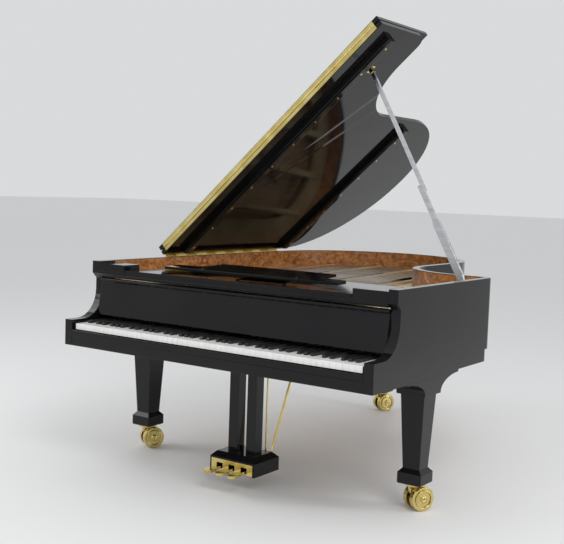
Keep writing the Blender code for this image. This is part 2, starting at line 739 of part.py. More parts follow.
def make_fallboard(looks):
    """The key cover, leaning back behind the keys, and the rail with end blocks above it."""
    half = HALF_WIDTH - ARM_WALL - 2 * FIT_GAP
    face = -FALLBOARD_THICKNESS
    top = FALLBOARD_LENGTH
    outline = [(face, -0.008), (0, -0.008), (0, top), (face - FALLBOARD_LIP * 0.6, top)]
    outline += [(face - FALLBOARD_LIP, top - 0.005), (face - FALLBOARD_LIP, top - 0.014), (face, top - 0.020)]
    board = prism("fallboard", outline, -half, half, looks["lacquer"], axis="X")
    board.location = (0, ARM_Y + FALLBOARD_PIVOT_DEPTH, KEY_TOP_Z + FALLBOARD_PIVOT_RISE)
    board.rotation_euler = (-FALLBOARD_LEAN, 0, 0)

    half = HALF_WIDTH - ARM_WALL - FIT_GAP
    rail_high = RIM_TOP - FRONT_RAIL_BELOW_TOP
    rail_low = rail_high - FRONT_RAIL_HEIGHT
    y = ARM_Y
    outline = [(y, rail_high), (y, rail_low + 0.013), (y - RAIL_BEAD, rail_low + 0.010)]
    outline += [(y - RAIL_BEAD, rail_low + 0.006), (y, rail_low + 0.003), (y, rail_low)]
    outline += [(y + FRONT_RAIL_THICKNESS, rail_low), (y + FRONT_RAIL_THICKNESS, rail_high)]
    rail = prism("front_rail", outline, -half, half, looks["lacquer"], axis="X")
    for side, name in ((-1, "rail_end_bass"), (1, "rail_end_treble")):
        near, far = sorted((side * (half - RAIL_END_WIDTH), side * half))
        low = (near, ARM_Y + 0.0002, rail_high - 0.006)
        high = (far, ARM_Y + ARM_DEPTH, RIM_TOP - RAIL_END_BELOW_TOP)
        join(rail, block(name, low, high, None))


def make_desk(looks):
    """Sliding tray, folding music desk with stepped wings, and the strut plate behind it."""
    lacquer = looks["lacquer"]
    tray_low = RIM_TOP - FRONT_RAIL_BELOW_TOP + FIT_GAP
    tray_high = tray_low + TRAY_THICKNESS
    half = HALF_WIDTH - ARM_WALL - FIT_GAP - RAIL_END_WIDTH - TRAY_SIDE_GAP
    low = (-half, ARM_Y, tray_low)
    block("desk_tray", low, (half, ARM_Y + TRAY_LENGTH, tray_high), lacquer)

    hinge = (0, ARM_Y + DESK_HINGE_DEPTH, tray_high + DESK_HINGE_RISE)
    axis = axis_empty("desk_hinge_axis", hinge, (DESK_REST_ANGLE, 0, 0))
    wide, narrow = DESK_WIDTH / 2, DESK_TOP_WIDTH / 2
    outline = [(-wide, 0), (wide, 0), (wide, DESK_WING_HEIGHT - 0.02), (wide - 0.02, DESK_WING_HEIGHT)]
    outline += [(narrow + 0.03, DESK_WING_HEIGHT + 0.006), (narrow, DESK_WING_HEIGHT + 0.036)]
    outline += [(narrow, DESK_HEIGHT)]
    outline += [(-x, y) for x, y in outline[:1:-1]]
    top = DESK_UNDERSIDE + DESK_THICKNESS
    panel = prism("desk_panel", outline, DESK_UNDERSIDE, top, lacquer)
    strut_half = STRUT_PLATE_WIDTH / 2
    lug = 0.0035
    for side, name in ((-1, "desk_lug_bass"), (1, "desk_lug_treble")):
        near, far = sorted((side * (strut_half + FIT_GAP), side * (strut_half + 0.012)))
        low = (near, STRUT_LENGTH - lug, -0.002)
        join(panel, block(name, low, (far, STRUT_LENGTH + lug, DESK_UNDERSIDE + 0.002), None))
    for side, name in ((-1, "desk_knob_bass"), (1, "desk_knob_treble")):
        knob_x = side * (DESK_WIDTH / 4 + 0.02)
        knob = turned(name, [(top - 0.002, KNOB_RADIUS), (top + 0.006, KNOB_RADIUS)], 8, None,
                      axis="Z", centre=(knob_x, 0.016, 0))
        join(panel, knob)
    carry(axis, panel)

    strut_axis = axis_empty("desk_strut_axis", (0, STRUT_LENGTH, 0), (-2 * DESK_REST_ANGLE, 0, 0), axis)
    half_thick = STRUT_PLATE_THICKNESS / 2
    outline = arc((0, 0), half_thick, math.pi / 2, 3 * math.pi / 2)[::6]
    outline += [(STRUT_LENGTH, -half_thick), (STRUT_LENGTH, half_thick)]
    strut = prism("desk_strut", outline, -strut_half, strut_half, looks["lacquer"], axis="X")
    carry(strut_axis, strut)


def hinge_pair(names, length, radius, leaf_a, leaf_b, look):
    """A continuous hinge along local X. Leaf a holds the pin, and leaf b's knuckles are bored for it.

    Each leaf is the low and high (y, z) corners of its plate, then those of the tabs to its knuckles.
    """
    bodies = []
    step = length / KNUCKLES
    for turn, (name, leaf) in enumerate(zip(names, (leaf_a, leaf_b))):
        body = block(name, (0.001, *leaf[0]), (length - 0.001, *leaf[1]), look)
        for number in range(turn, KNUCKLES, 2):
            start, end = number * step + 0.0006, (number + 1) * step - 0.0006
            knuckle = turned(f"{name}_knuckle_{number}", [(start, radius), (end, radius)], 8, None)
            tab = block(f"{name}_tab_{number}", (start + 0.0004, *leaf[2]), (end - 0.0004, *leaf[3]), None)
            join(body, knuckle, tab)
        bodies.append(body)
    pin = turned(names[0] + "_pin", [(0.004, PIN_RADIUS), (length - 0.004, PIN_RADIUS)], 8, None)
    join(bodies[0], pin)
    bore_radius = PIN_RADIUS + PIN_CLEARANCE
    bore = turned(names[1] + "_bore", [(-0.01, bore_radius), (length + 0.01, bore_radius)], 8, None)
    cut(bodies[1], bore)
    return bodies


def make_lid(looks):
    """The lid in the frame of its hinge, modelled shut and turned open by the hinge's empty."""
    lacquer = looks["lacquer"]
    hinge = Vector((HINGE_X, 0, HINGE_Z))
    lid_axis = axis_empty("lid_hinge_axis", hinge, (0, -LID_ANGLE, 0))
    flap_y = ARM_Y + FLAP_LINE_DEPTH
    under = LID_UNDER - HINGE_Z
    over = under + LID_THICKNESS
    outline = case_line(-LID_OVERHANG, flap_y, spine_inset=0.0)
    shifted = [(x - HINGE_X, y) for x, y in outline]
    main = prism("lid_main", shifted, under, over, lacquer)
    width = shifted[0][0] - shifted[-1][0]

    rise = BARREL_RADIUS + 0.0006
    pivot = (shifted[-1][0], flap_y - FLAP_GAP / 2, over + rise)
    flap_axis = axis_empty("flap_hinge_axis", pivot, parent=lid_axis)
    flap = block("lid_flap", (0, FLAP_GAP / 2, rise), (width, FLAP_GAP / 2 + FLAP_LENGTH, rise + LID_THICKNESS), lacquer)
    face = FLAP_GAP / 2 - FIT_GAP
    reach = rise + LID_THICKNESS - 0.003
    clear = BARREL_RADIUS + FIT_GAP
    tab = (PIN_RADIUS + PIN_CLEARANCE + 0.0002, clear + 0.001)
    leaf_low = ((face - LEAF, -reach), (face, -clear), (face - LEAF, -tab[1]), (face, -tab[0]))
    leaf_high = ((face - LEAF, clear), (face, reach), (face - LEAF, tab[0]), (face, tab[1]))
    names = ("flap_hinge_lid_leaf", "flap_hinge_flap_leaf")
    leaves = hinge_pair(names, width - 0.06, BARREL_RADIUS, leaf_low, leaf_high, looks["brass"])
    for leaf in leaves:
        shift_shape(leaf, (0.03, 0, 0))
    carry(flap_axis, flap, *leaves)
    carry(lid_axis, main)
    make_battens(looks, lid_axis, under)
    make_spine_hinge(looks, lid_axis, under)
    return lid_axis


def shift_shape(body, vector):
    """Moves a body's shape and its helpers' shapes."""
    helpers = [change.object for change in body.modifiers if change.type == "BOOLEAN"]
    for item in [body, *helpers]:
        item.data.transform(Matrix.Translation(Vector(vector)))


def make_battens(looks, lid_axis, under):
    """Two stiffening battens across the lid's underside."""
    left = -HALF_WIDTH + BATTEN_END_GAP - HINGE_X
    ends = (("lid_batten_front", FRONT_BATTEN_DEPTH, HALF_WIDTH - BATTEN_END_GAP - HINGE_X),
            ("lid_batten_rear", REAR_BATTEN_DEPTH, TAIL_X - BATTEN_END_GAP - HINGE_X))
    high = under - FIT_GAP
    low = high - BATTEN_HEIGHT
    for name, depth, right in ends:
        middle = ARM_Y + depth
        half = BATTEN_WIDTH / 2
        outline = [(middle - half, high), (middle - half, low + 0.008), (middle - half + 0.008, low)]
        outline += [(middle + half - 0.008, low), (middle + half, low + 0.008), (middle + half, high)]
        carry(lid_axis, prism(name, outline, left, right, looks["lacquer"], axis="X"))


def make_spine_hinge(looks, lid_axis, under):
    """The long hinge on the spine: one leaf on the rim's top, one under the lid."""
    start = ARM_Y + FLAP_LINE_DEPTH + 0.02
    length = TAIL_Y - SPINE_RADIUS - start - 0.01
    top_of_rim = RIM_TOP + FIT_GAP - HINGE_Z
    names = ("spine_hinge_rim_leaf", "spine_hinge_lid_leaf")
    high = under - FIT_GAP
    clear = -SPINE_BARREL_RADIUS - FIT_GAP
    tab = (clear - 0.001, -PIN_RADIUS - PIN_CLEARANCE - 0.0002)
    leaf_a = [(-SPINE_LEAF_WIDTH, top_of_rim), (clear, top_of_rim + LEAF)]
    leaf_a += [(tab[0], top_of_rim), (tab[1], top_of_rim + LEAF)]
    leaf_b = [(-SPINE_LEAF_WIDTH, high - LEAF), (clear, high), (tab[0], high - LEAF), (tab[1], high)]
    rim_leaf, lid_leaf = hinge_pair(names, length, SPINE_BARREL_RADIUS, leaf_a, leaf_b, looks["brass"])
    upright = Matrix.Rotation(math.pi / 2, 4, "Z")
    for body in (rim_leaf, lid_leaf):
        helpers = [change.object for change in body.modifiers if change.type == "BOOLEAN"]
        for item in [body, *helpers]:
            item.data.transform(upright)
    carry(lid_axis, lid_leaf)
    shift_shape(lid_leaf, (0, start, 0))
    shift_shape(rim_leaf, (HINGE_X, start, HINGE_Z))


def make_prop(looks, lid_axis):
    """The prop: a lower stick hinged on the case and an upper rod hinged under the lid."""
    steel = looks["steel"]
    base = Vector((HALF_WIDTH - RIM_WALL - VENEER - PROP_BASE_INSET, ARM_Y + PROP_DEPTH, RIM_TOP - PROP_BASE_BELOW_TOP))
    lid_pivot = Vector((PROP_LID_REACH, base.y, LID_UNDER - HINGE_Z - PROP_LID_DROP))
    open_turn = Matrix.Rotation(-LID_ANGLE, 3, "Y")
    top = Vector((HINGE_X, 0, HINGE_Z)) + open_turn @ lid_pivot
    span = Vector((top.x - base.x, top.z - base.z))
    length = span.length
    lean = math.atan2(span.y, span.x)
    stick_length = length * STICK_SHARE

    stick_near = -PROP_SIDE_GAP / 2 - STICK_THICKNESS
    wide, slim = STICK_WIDTH / 2, STICK_TIP_WIDTH / 2
    outline = [(0.0, -0.010), (0.03, -wide), (stick_length * STICK_STEP_SHARE, -wide)]
    outline += [(stick_length * STICK_STEP_SHARE + 0.02, -slim), (stick_length, -slim)]
    outline += [(x, -z) for x, z in outline[::-1]]
    outline += [(-0.008, 0.006), (-0.008, -0.006)]
    stick = prism("prop_stick", outline, stick_near, -PROP_SIDE_GAP / 2, steel, axis="Y")
    bore = PROP_PIN_RADIUS + PROP_PIN_CLEARANCE
    cut(stick, turned("prop_stick_bore", [(-0.05, bore), (0.05, bore)], 12, None, axis="Y"))
    stick.location = base
    stick.rotation_euler = (0, -lean, 0)

    rod_length = length - stick_length
    half = ROD_WIDTH / 2
    chamfer = half * 0.4
    end = rod_length + PROP_OVERLAP
    outline = [(-half, -chamfer), (-chamfer, -half), (end, -half)]
    outline += [(end, half), (-chamfer, half), (-half, chamfer)]
    near = PROP_SIDE_GAP / 2
    bar = prism("prop_rod", outline, near, near + ROD_WIDTH, steel, axis="Y")
    cut(bar, turned("prop_rod_bore", [(-0.05, bore), (0.05, bore)], 12, None, axis="Y"))
    bar.parent = lid_axis
    bar.location = lid_pivot
    bar.rotation_euler = (0, math.pi - lean + LID_ANGLE, 0)
    for helper in [change.object for change in bar.modifiers]:
        helper.parent = lid_axis
        helper.location = bar.location
        helper.rotation_euler = bar.rotation_euler
    for helper in [change.object for change in stick.modifiers]:
        helper.location = stick.location
        helper.rotation_euler = stick.rotation_euler
    make_prop_bracket(looks, base, stick_near)
    make_prop_cup(looks, lid_axis, lid_pivot, near)


def make_prop_bracket(looks, base, stick_near):
    """Two ears and a pin on the rim's inner face, round the stick's foot."""
    wall = HALF_WIDTH - RIM_WALL - VENEER - 2 * FIT_GAP
    ear_inner = (stick_near - 0.0008, -PROP_SIDE_GAP / 2 + 0.0008)
    low = (wall - 0.004, base.y + ear_inner[0] - EAR, base.z - 0.012)
    high = (wall, base.y + ear_inner[1] + EAR, base.z + 0.008)
    bracket = block("prop_bracket", low, high, looks["brass"])
    for name, near, far in (("prop_ear_front", ear_inner[0] - EAR, ear_inner[0]), ("prop_ear_rear", ear_inner[1], ear_inner[1] + EAR)):
        low = (base.x - 0.008, base.y + near, base.z - 0.010)
        join(bracket, block(name, low, (wall - 0.001, base.y + far, base.z + 0.007), None))
    span = [(ear_inner[0] - EAR * 0.5, PROP_PIN_RADIUS), (ear_inner[1] + EAR * 0.5, PROP_PIN_RADIUS)]
    join(bracket, turned("prop_bracket_pin", span, 12, None, axis="Y", centre=base))


def make_prop_cup(looks, lid_axis, pivot, near):
    """Two ears and a pin under the lid, round the rod's head."""
    ceiling = LID_UNDER - HINGE_Z - FIT_GAP
    ear_inner = (near - 0.0008, near + ROD_WIDTH + 0.0008)
    low = (pivot.x - 0.022, pivot.y + ear_inner[0] - EAR, ceiling - 0.003)
    high = (pivot.x + 0.022, pivot.y + ear_inner[1] + EAR, ceiling)
    cup = block("prop_cup", low, high, looks["brass"])
    for name, start, end in (("cup_ear_front", ear_inner[0] - EAR, ear_inner[0]), ("cup_ear_rear", ear_inner[1], ear_inner[1] + EAR)):
        low = (pivot.x - 0.009, pivot.y + start, pivot.z - 0.008)
        join(cup, block(name, low, (pivot.x + 0.009, pivot.y + end, ceiling - 0.001), None))
    span = [(ear_inner[0] - EAR * 0.5, PROP_PIN_RADIUS), (ear_inner[1] + EAR * 0.5, PROP_PIN_RADIUS)]
    join(cup, turned("prop_cup_pin", span, 12, None, axis="Y", centre=pivot))
    carry(lid_axis, cup)


def leg_places():
    """Each leg's name, middle in plan and whether its head runs along Y."""
    side = HALF_WIDTH - LEG_SETBACK_X
    depth = ARM_Y + LEG_DEPTH
    tail = TAIL_Y - TAIL_LEG_FROM_TAIL
    return (("bass", (-side, depth), True), ("treble", (side, depth), True), ("tail", (TAIL_LEG_X, tail), False))


def make_legs(looks):
    for name, centre, along_y in leg_places():
        make_leg(name, centre, along_y, looks["lacquer"])
        make_caster(name, centre, looks["brass"])


def make_leg(name, centre, along_y, look):
    """A square tapered leg with a ferrule at its foot and a coved head under the case."""
    head_low = LEG_TOP_Z - LEG_HEAD_HEIGHT
    levels = [(LEG_FOOT, FERRULE_WIDTH - 0.008), (LEG_FOOT + 0.004, FERRULE_WIDTH), (FERRULE_TOP, FERRULE_WIDTH)]
    levels += [(FERRULE_TOP + FERRULE_SHOULDER, LEG_LOW_WIDTH), (head_low + 0.006, LEG_TOP_WIDTH)]
    leg = lofted(f"leg_{name}", [(z, width, width) for z, width in levels], look, centre)
    half_low, half_high = LEG_HEAD_FOOT_LENGTH / 2, LEG_HEAD_LENGTH / 2
    drop = LEG_HEAD_HEIGHT - 0.010
    outline = [(half_low, head_low), (half_low, head_low + 0.004)]
    for step in range(1, COVE_STEPS + 1):
        angle = math.pi / 2 * step / COVE_STEPS
        reach = (half_high - half_low) * (1 - math.cos(angle))
        outline.append((half_low + reach, head_low + 0.004 + drop * math.sin(angle)))
    outline.append((half_high, LEG_TOP_Z))
    outline += [(-along, z) for along, z in outline[::-1]]
    half_width = LEG_HEAD_WIDTH / 2
    middle = centre[1] if along_y else centre[0]
    across = centre[0] if along_y else centre[1]
    outline = [(middle + along, z) for along, z in outline]
    axis = "X" if along_y else "Y"
    head = prism(f"leg_head_{name}", outline, across - half_width, across + half_width, None, axis=axis)
    return join(leg, head)


def make_caster(name, centre, look):
    """A brass twin-wheel caster that swivels under the leg."""
    swivel = axis_empty(f"caster_axis_{name}", (*centre, 0), (0, 0, CASTER_TURN[name]))
    plate_high = LEG_FOOT - FIT_GAP
    plate_low = plate_high - CASTER_PLATE
    axle_z = WHEEL_DIAMETER / 2
    disc = [(plate_low, CASTER_PLATE_RADIUS), (plate_high, CASTER_PLATE_RADIUS)]
    fork = turned(f"caster_fork_{name}", disc, 16, look, axis="Z")
    boss = AXLE_RADIUS + 0.010
    web = [(-0.028, plate_low + 0.002), (-0.020, axle_z + 0.020)]
    web += arc((CASTER_TRAIL, axle_z), boss, math.radians(200), math.radians(350))[::5]
    web += [(CASTER_TRAIL + 0.014, plate_low + 0.002)]
    half_web = CASTER_WEB / 2
    join(fork, prism(f"caster_web_{name}", web, -half_web, half_web, None, axis="X"))
    bore = AXLE_RADIUS + AXLE_CLEARANCE
    middle = (0, CASTER_TRAIL, axle_z)
    cut(fork, turned(f"caster_bore_{name}", [(-0.05, bore), (0.05, bore)], WHEEL_SIDES, None, centre=middle))
    carry(swivel, fork)

    inner = WHEEL_GAP / 2
    outer = inner + WHEEL_WIDTH
    radius = WHEEL_DIAMETER / 2 / math.cos(math.pi / WHEEL_SIDES)
    half = [(inner, AXLE_RADIUS), (inner, radius), (outer - 0.008, radius), (outer - 0.004, radius - 0.004)]
    half += [(outer - 0.004, 0.016), (outer, 0.010), (outer, 0)]
    profile = [(-along, size) for along, size in half[::-1]] + half
    wheels = turned(f"caster_wheels_{name}", profile, WHEEL_SIDES, look)
    wheels.location = middle
    carry(swivel, wheels)


def make_lyre(looks):
    """The lyre: two posts under a head block, a pedal box, its brass plate and the raking brace."""
    lacquer, brass = looks["lacquer"], looks["brass"]
    y = ARM_Y + LYRE_DEPTH
    top = RIM_BOTTOM - FIT_GAP
    box_top = BOX_BOTTOM + BOX_HEIGHT
    ridge = box_top + BOX_RIDGE
    half_head = LYRE_HEAD_WIDTH / 2
    half_long = LYRE_HEAD_LENGTH / 2
    head_low = top - LYRE_HEAD_HEIGHT
    frame = block("lyre_frame", (-half_head, y - half_long, head_low), (half_head, y + half_long, top), lacquer)
    half_post = POST_WIDTH / 2
    for side, name in ((-1, "lyre_post_bass"), (1, "lyre_post_treble")):
        x = side * POST_SPACING / 2
        low = (x - half_post, y - half_post, ridge + FIT_GAP)
        join(frame, block(name, low, (x + half_post, y + half_post, head_low + 0.005), None))

    box_half = BOX_WIDTH / 2
    depth_half = BOX_LENGTH / 2
    front = y - depth_half
    levels = [(BOX_BOTTOM, BOX_WIDTH, BOX_LENGTH), (box_top, BOX_WIDTH, BOX_LENGTH)]
    levels.append((ridge, BOX_WIDTH - 2 * BOX_RIDGE, BOX_LENGTH - 2 * BOX_RIDGE))
    box = lofted("pedal_box", levels, lacquer, (0, y))
    plate_low = (-box_half + 0.010, front - FIT_GAP - PEDAL_PLATE, BOX_BOTTOM + 0.003)
    plate = block("pedal_plate", plate_low, (box_half - 0.010, front - FIT_GAP, box_top - 0.006), brass)
    for number, name in ((-1, "left"), (0, "middle"), (1, "right")):
        x = number * PEDAL_SPACING
        half_slot = PEDAL_WIDTH / 2 + PEDAL_SLOT_GAP
        slot_high = BOX_BOTTOM + PEDAL_SLOT_HEIGHT
        low = (x - half_slot, front - 0.03, BOX_BOTTOM - 0.02)
        cut(box, block(f"pedal_slot_{name}", low, (x + half_slot, front + BOX_LENGTH - 0.012, slot_high), None))
        cut(plate, block(f"plate_slot_{name}", low, (x + half_slot, front + 0.01, slot_high), None))
        rod_hole = PEDAL_ROD_RADIUS + 0.002
        rod_y = front + PEDAL_ROD_DEPTH
        span = [(BOX_BOTTOM, rod_hole), (ridge + 0.01, rod_hole)]
        cut(box, turned(f"rod_hole_{name}", span, 8, None, axis="Z", centre=(x, rod_y, 0)))
        make_pedal(name, x, front, brass, rod_y)
    make_lyre_brace(y, depth_half, brass)


def make_pedal(name, x, front, look, rod_y):
    """A pedal with a rounded toe, and the rod that its tail lifts."""
    low = BOX_BOTTOM + PEDAL_HEIGHT
    pivot_y = front + PEDAL_PIVOT_DEPTH
    toe_y = front - PEDAL_REACH
    half, toe = PEDAL_WIDTH / 2, PEDAL_TOE_WIDTH / 2
    outline = [(half, rod_y + 0.010), (-half, rod_y + 0.010), (-half, toe_y + 0.075)]
    bend = [(toe * math.cos(angle), 0.030 * math.sin(angle)) for angle in (3.4, 3.9, 4.4, 4.9, 5.4, 5.9)]
    outline += [(-toe * 0.97, toe_y + 0.040)]
    outline += [(across, toe_y + 0.030 + along) for across, along in bend]
    outline += [(toe * 0.97, toe_y + 0.040), (half, toe_y + 0.075)]
    outline = [(x + across, y) for across, y in outline]
    pedal = prism(f"pedal_{name}", outline, low, low + PEDAL_THICKNESS, look)
    centre_on(pedal, (x, pivot_y, low + PEDAL_THICKNESS / 2))
    rod_low = low + PEDAL_THICKNESS + 0.0005
    rod_high = RIM_BOTTOM - PEDAL_ROD_TRAVEL_GAP
    rod(f"pedal_rod_{name}", (x, rod_y, rod_low), (x, rod_y, rod_high), PEDAL_ROD_RADIUS, look)


def make_lyre_brace(y, depth_half, look):
    """Two raking bars from the pedal box's back to one strap under the keybed."""
    foot_y = y + depth_half + 0.009
    head_y = y + BRACE_REACH + depth_half
    strap_high = RIM_BOTTOM - FIT_GAP
    low = (-BRACE_HEAD_SPREAD - 0.016, head_y - 0.016, strap_high - 0.010)
    brace = block("lyre_brace", low, (BRACE_HEAD_SPREAD + 0.016, head_y + 0.016, strap_high), look)
    for side, name in ((-1, "brace_bar_bass"), (1, "brace_bar_treble")):
        foot = (side * BRACE_FOOT_SPREAD, foot_y, BOX_BOTTOM + BOX_HEIGHT * 0.6)
        head = (side * BRACE_HEAD_SPREAD, head_y, strap_high - 0.004)
        join(brace, rod(name, foot, head, BRACE_ROD_RADIUS, None))


def main():
    clear_scene()
    looks = make_looks()
    make_case(looks)
    make_inside(looks)
    make_keys(looks)
    make_fallboard(looks)
    make_desk(looks)
    lid_axis = make_lid(looks)
    make_prop(looks, lid_axis)
    make_legs(looks)
    make_lyre(looks)


main()
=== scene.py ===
# %% [markdown]
# # A grand piano
# The shapes come packed as a frame that is already in its place. This lesson dresses it: lacquer, veneer,
# gold-bronzed iron, brass and white key tops. Then it adds strings, tuning pins, dampers, screws and the
# rings on the casters.

# %% Load the frame
import json
import math

import bmesh
import bpy
from mathutils import Matrix, Vector
from mathutils.bvhtree import BVHTree


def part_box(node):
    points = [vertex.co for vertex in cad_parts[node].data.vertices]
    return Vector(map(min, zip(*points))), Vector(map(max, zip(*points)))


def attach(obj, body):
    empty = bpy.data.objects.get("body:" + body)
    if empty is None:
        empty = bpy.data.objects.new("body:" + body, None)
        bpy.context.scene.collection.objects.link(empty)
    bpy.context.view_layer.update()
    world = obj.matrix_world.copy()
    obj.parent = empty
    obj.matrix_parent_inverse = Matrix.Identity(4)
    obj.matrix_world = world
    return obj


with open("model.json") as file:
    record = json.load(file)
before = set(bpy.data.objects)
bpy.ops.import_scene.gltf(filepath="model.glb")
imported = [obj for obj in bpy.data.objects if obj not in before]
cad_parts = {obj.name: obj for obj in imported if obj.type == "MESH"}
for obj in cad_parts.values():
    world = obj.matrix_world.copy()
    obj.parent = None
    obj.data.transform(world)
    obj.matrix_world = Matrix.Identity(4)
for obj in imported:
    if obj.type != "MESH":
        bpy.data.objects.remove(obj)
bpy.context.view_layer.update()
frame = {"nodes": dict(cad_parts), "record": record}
nodes = frame["nodes"]
print(len(nodes), "nodes in the frame")

# %% [markdown]
# Real finishes are never one flat value. Polish has faint unevenness, cast metal has a sand texture, and wood
# has rings stretched along the board. Each material could hold its own noise, but one shared node group keeps
# them alike: it gives a broad mask and a fine height from Object coordinates, at the scale it is handed.


# %% The uneven group
GROUP_INPUTS = (
    ("Stretch", "NodeSocketVector"),
    ("Detail scale", "NodeSocketFloat"),
    ("Warp", "NodeSocketFloat"),
)
GROUP_OUTPUTS = ("Mask", "Height")


def uneven_group():
    group = bpy.data.node_groups.new("uneven", "ShaderNodeTree")
    for name, kind in GROUP_INPUTS:
        group.interface.new_socket(name, in_out="INPUT", socket_type=kind)
    for name in GROUP_OUTPUTS:
        group.interface.new_socket(name, in_out="OUTPUT", socket_type="NodeSocketFloat")
    tree = group.nodes
    link = group.links.new
    inputs = tree.new("NodeGroupInput")
    outputs = tree.new("NodeGroupOutput")
    where = tree.new("ShaderNodeTexCoord")
    stretch = tree.new("ShaderNodeVectorMath")
    stretch.operation = "MULTIPLY"
    broad = tree.new("ShaderNodeTexNoise")
    broad.inputs["Scale"].default_value = 1.0
    broad.inputs["Detail"].default_value = 4.0
    fine = tree.new("ShaderNodeTexNoise")
    fine.inputs["Detail"].default_value = 3.0
    link(where.outputs["Object"], stretch.inputs[0])
    link(inputs.outputs["Stretch"], stretch.inputs[1])
    link(stretch.outputs[0], broad.inputs["Vector"])
    link(inputs.outputs["Warp"], broad.inputs["Distortion"])
    link(where.outputs["Object"], fine.inputs["Vector"])
    link(inputs.outputs["Detail scale"], fine.inputs["Scale"])
    link(broad.outputs["Fac"], outputs.inputs["Mask"])
    link(fine.outputs["Fac"], outputs.inputs["Height"])
    return group


UNEVEN = uneven_group()
print("sockets of the group:", [item.name for item in UNEVEN.interface.items_tree])


# %% [markdown]
# A finish mixes two near colours by the mask, lets the roughness vary a little, and bumps the surface by the
# fine height. Values that are the same all over sit on the shader's own sockets, because those carry over
# when the model is exported.


# %% One helper for every finish
COAT_ROUGHNESS = 0.03
DARK_UNTIL = 0.32
LIGHT_FROM = 0.68
SMOOTHEST = 0.8
ROUGHEST = 1.25
BUMP_DISTANCE = 0.001


def finish(name, dark, light, rough, stretch, detail, bump=0.02, metal=0.0, coat=0.0, warp=0.0, gleam=0.5):
    made = bpy.data.materials.new(name)
    made.use_nodes = True
    tree = made.node_tree.nodes
    link = made.node_tree.links.new
    shader = tree["Principled BSDF"]
    shader.inputs["Metallic"].default_value = metal
    shader.inputs["Coat Weight"].default_value = coat
    shader.inputs["Specular IOR Level"].default_value = gleam
    shader.inputs["Coat Roughness"].default_value = COAT_ROUGHNESS
    pattern = tree.new("ShaderNodeGroup")
    pattern.node_tree = UNEVEN
    pattern.inputs["Stretch"].default_value = stretch
    pattern.inputs["Detail scale"].default_value = detail
    pattern.inputs["Warp"].default_value = warp
    ramp = tree.new("ShaderNodeValToRGB")
    ramp.color_ramp.elements[0].position = DARK_UNTIL
    ramp.color_ramp.elements[0].color = (*dark, 1)
    ramp.color_ramp.elements[1].position = LIGHT_FROM
    ramp.color_ramp.elements[1].color = (*light, 1)
    shine = tree.new("ShaderNodeMapRange")
    shine.inputs["To Min"].default_value = rough * SMOOTHEST
    shine.inputs["To Max"].default_value = rough * ROUGHEST
    relief = tree.new("ShaderNodeBump")
    relief.inputs["Strength"].default_value = bump
    relief.inputs["Distance"].default_value = BUMP_DISTANCE
    link(pattern.outputs["Mask"], ramp.inputs["Fac"])
    link(pattern.outputs["Height"], shine.inputs["Value"])
    link(pattern.outputs["Height"], relief.inputs["Height"])
    link(ramp.outputs["Color"], shader.inputs["Base Color"])
    link(shine.outputs["Result"], shader.inputs["Roughness"])
    link(relief.outputs["Normal"], shader.inputs["Normal"])
    return made


# %% [markdown]
# Each line gives the two colours, the roughness, how the pattern is stretched along X, Y and Z, and the scale
# of the fine grain. A large stretch on one axis packs the pattern tightly across the board, which leaves the
# grain running along the others. The burl has no direction, so its noise is warped instead.

# %% The finishes of this piano
FINISHES = {
    "lacquer": finish("black_lacquer", (0.004, 0.004, 0.005), (0.007, 0.007, 0.008), 0.06, (3, 3, 3), 6,
                      gleam=0.28),
    "burl": finish("burl_veneer", (0.16, 0.045, 0.012), (0.52, 0.22, 0.06), 0.25, (14, 14, 22), 300,
                   coat=0.8, warp=2.5),
    "frame_wood": finish("frame_wood", (0.24, 0.13, 0.06), (0.42, 0.26, 0.13), 0.5, (6, 6, 60), 200,
                         bump=0.15),
    "spruce": finish("spruce_board", (0.56, 0.36, 0.16), (0.74, 0.53, 0.28), 0.35, (90, 3, 3), 300,
                     bump=0.1, coat=0.4),
    "maple": finish("maple", (0.42, 0.25, 0.11), (0.60, 0.40, 0.20), 0.4, (60, 4, 4), 260, bump=0.1),
    "gold": finish("bronzed_iron", (0.70, 0.55, 0.26), (0.88, 0.75, 0.46), 0.38, (5, 5, 5), 700,
                   bump=0.2, metal=0.45),
    "brass": finish("polished_brass", (0.60, 0.47, 0.15), (0.78, 0.65, 0.28), 0.16, (20, 20, 20), 260,
                    metal=1.0),
    "steel": finish("bright_steel", (0.55, 0.56, 0.58), (0.68, 0.69, 0.71), 0.22, (4, 4, 60), 300,
                    metal=1.0),
    "ivory": finish("white_key_tops", (0.84, 0.84, 0.82), (0.90, 0.90, 0.88), 0.18, (20, 20, 20), 200),
    "ebony": finish("black_key_tops", (0.010, 0.010, 0.011), (0.018, 0.018, 0.018), 0.33, (60, 8, 60), 500,
                    bump=0.1),
    "copper": finish("copper_winding", (0.50, 0.20, 0.08), (0.66, 0.30, 0.13), 0.3, (9, 9, 9), 600,
                     metal=1.0),
}
print(len(FINISHES), "finishes")

# %% [markdown]
# Each node takes the finish that its slot in the record names. The meshes are loose triangles, so a Weld
# joins them before a Bevel rounds the arrises. A sharp edge would vanish on black lacquer, and a thin rounded
# one catches the light.

# %% Dress the nodes
EDGE = {"lacquer": 0.0018, "gold": 0.0012, "brass": 0.0006, "steel": 0.0008, "ivory": 0.0004, "ebony": 0.0006}
WELD_WITHIN = 0.00002
ARRIS_ANGLE = math.radians(40)

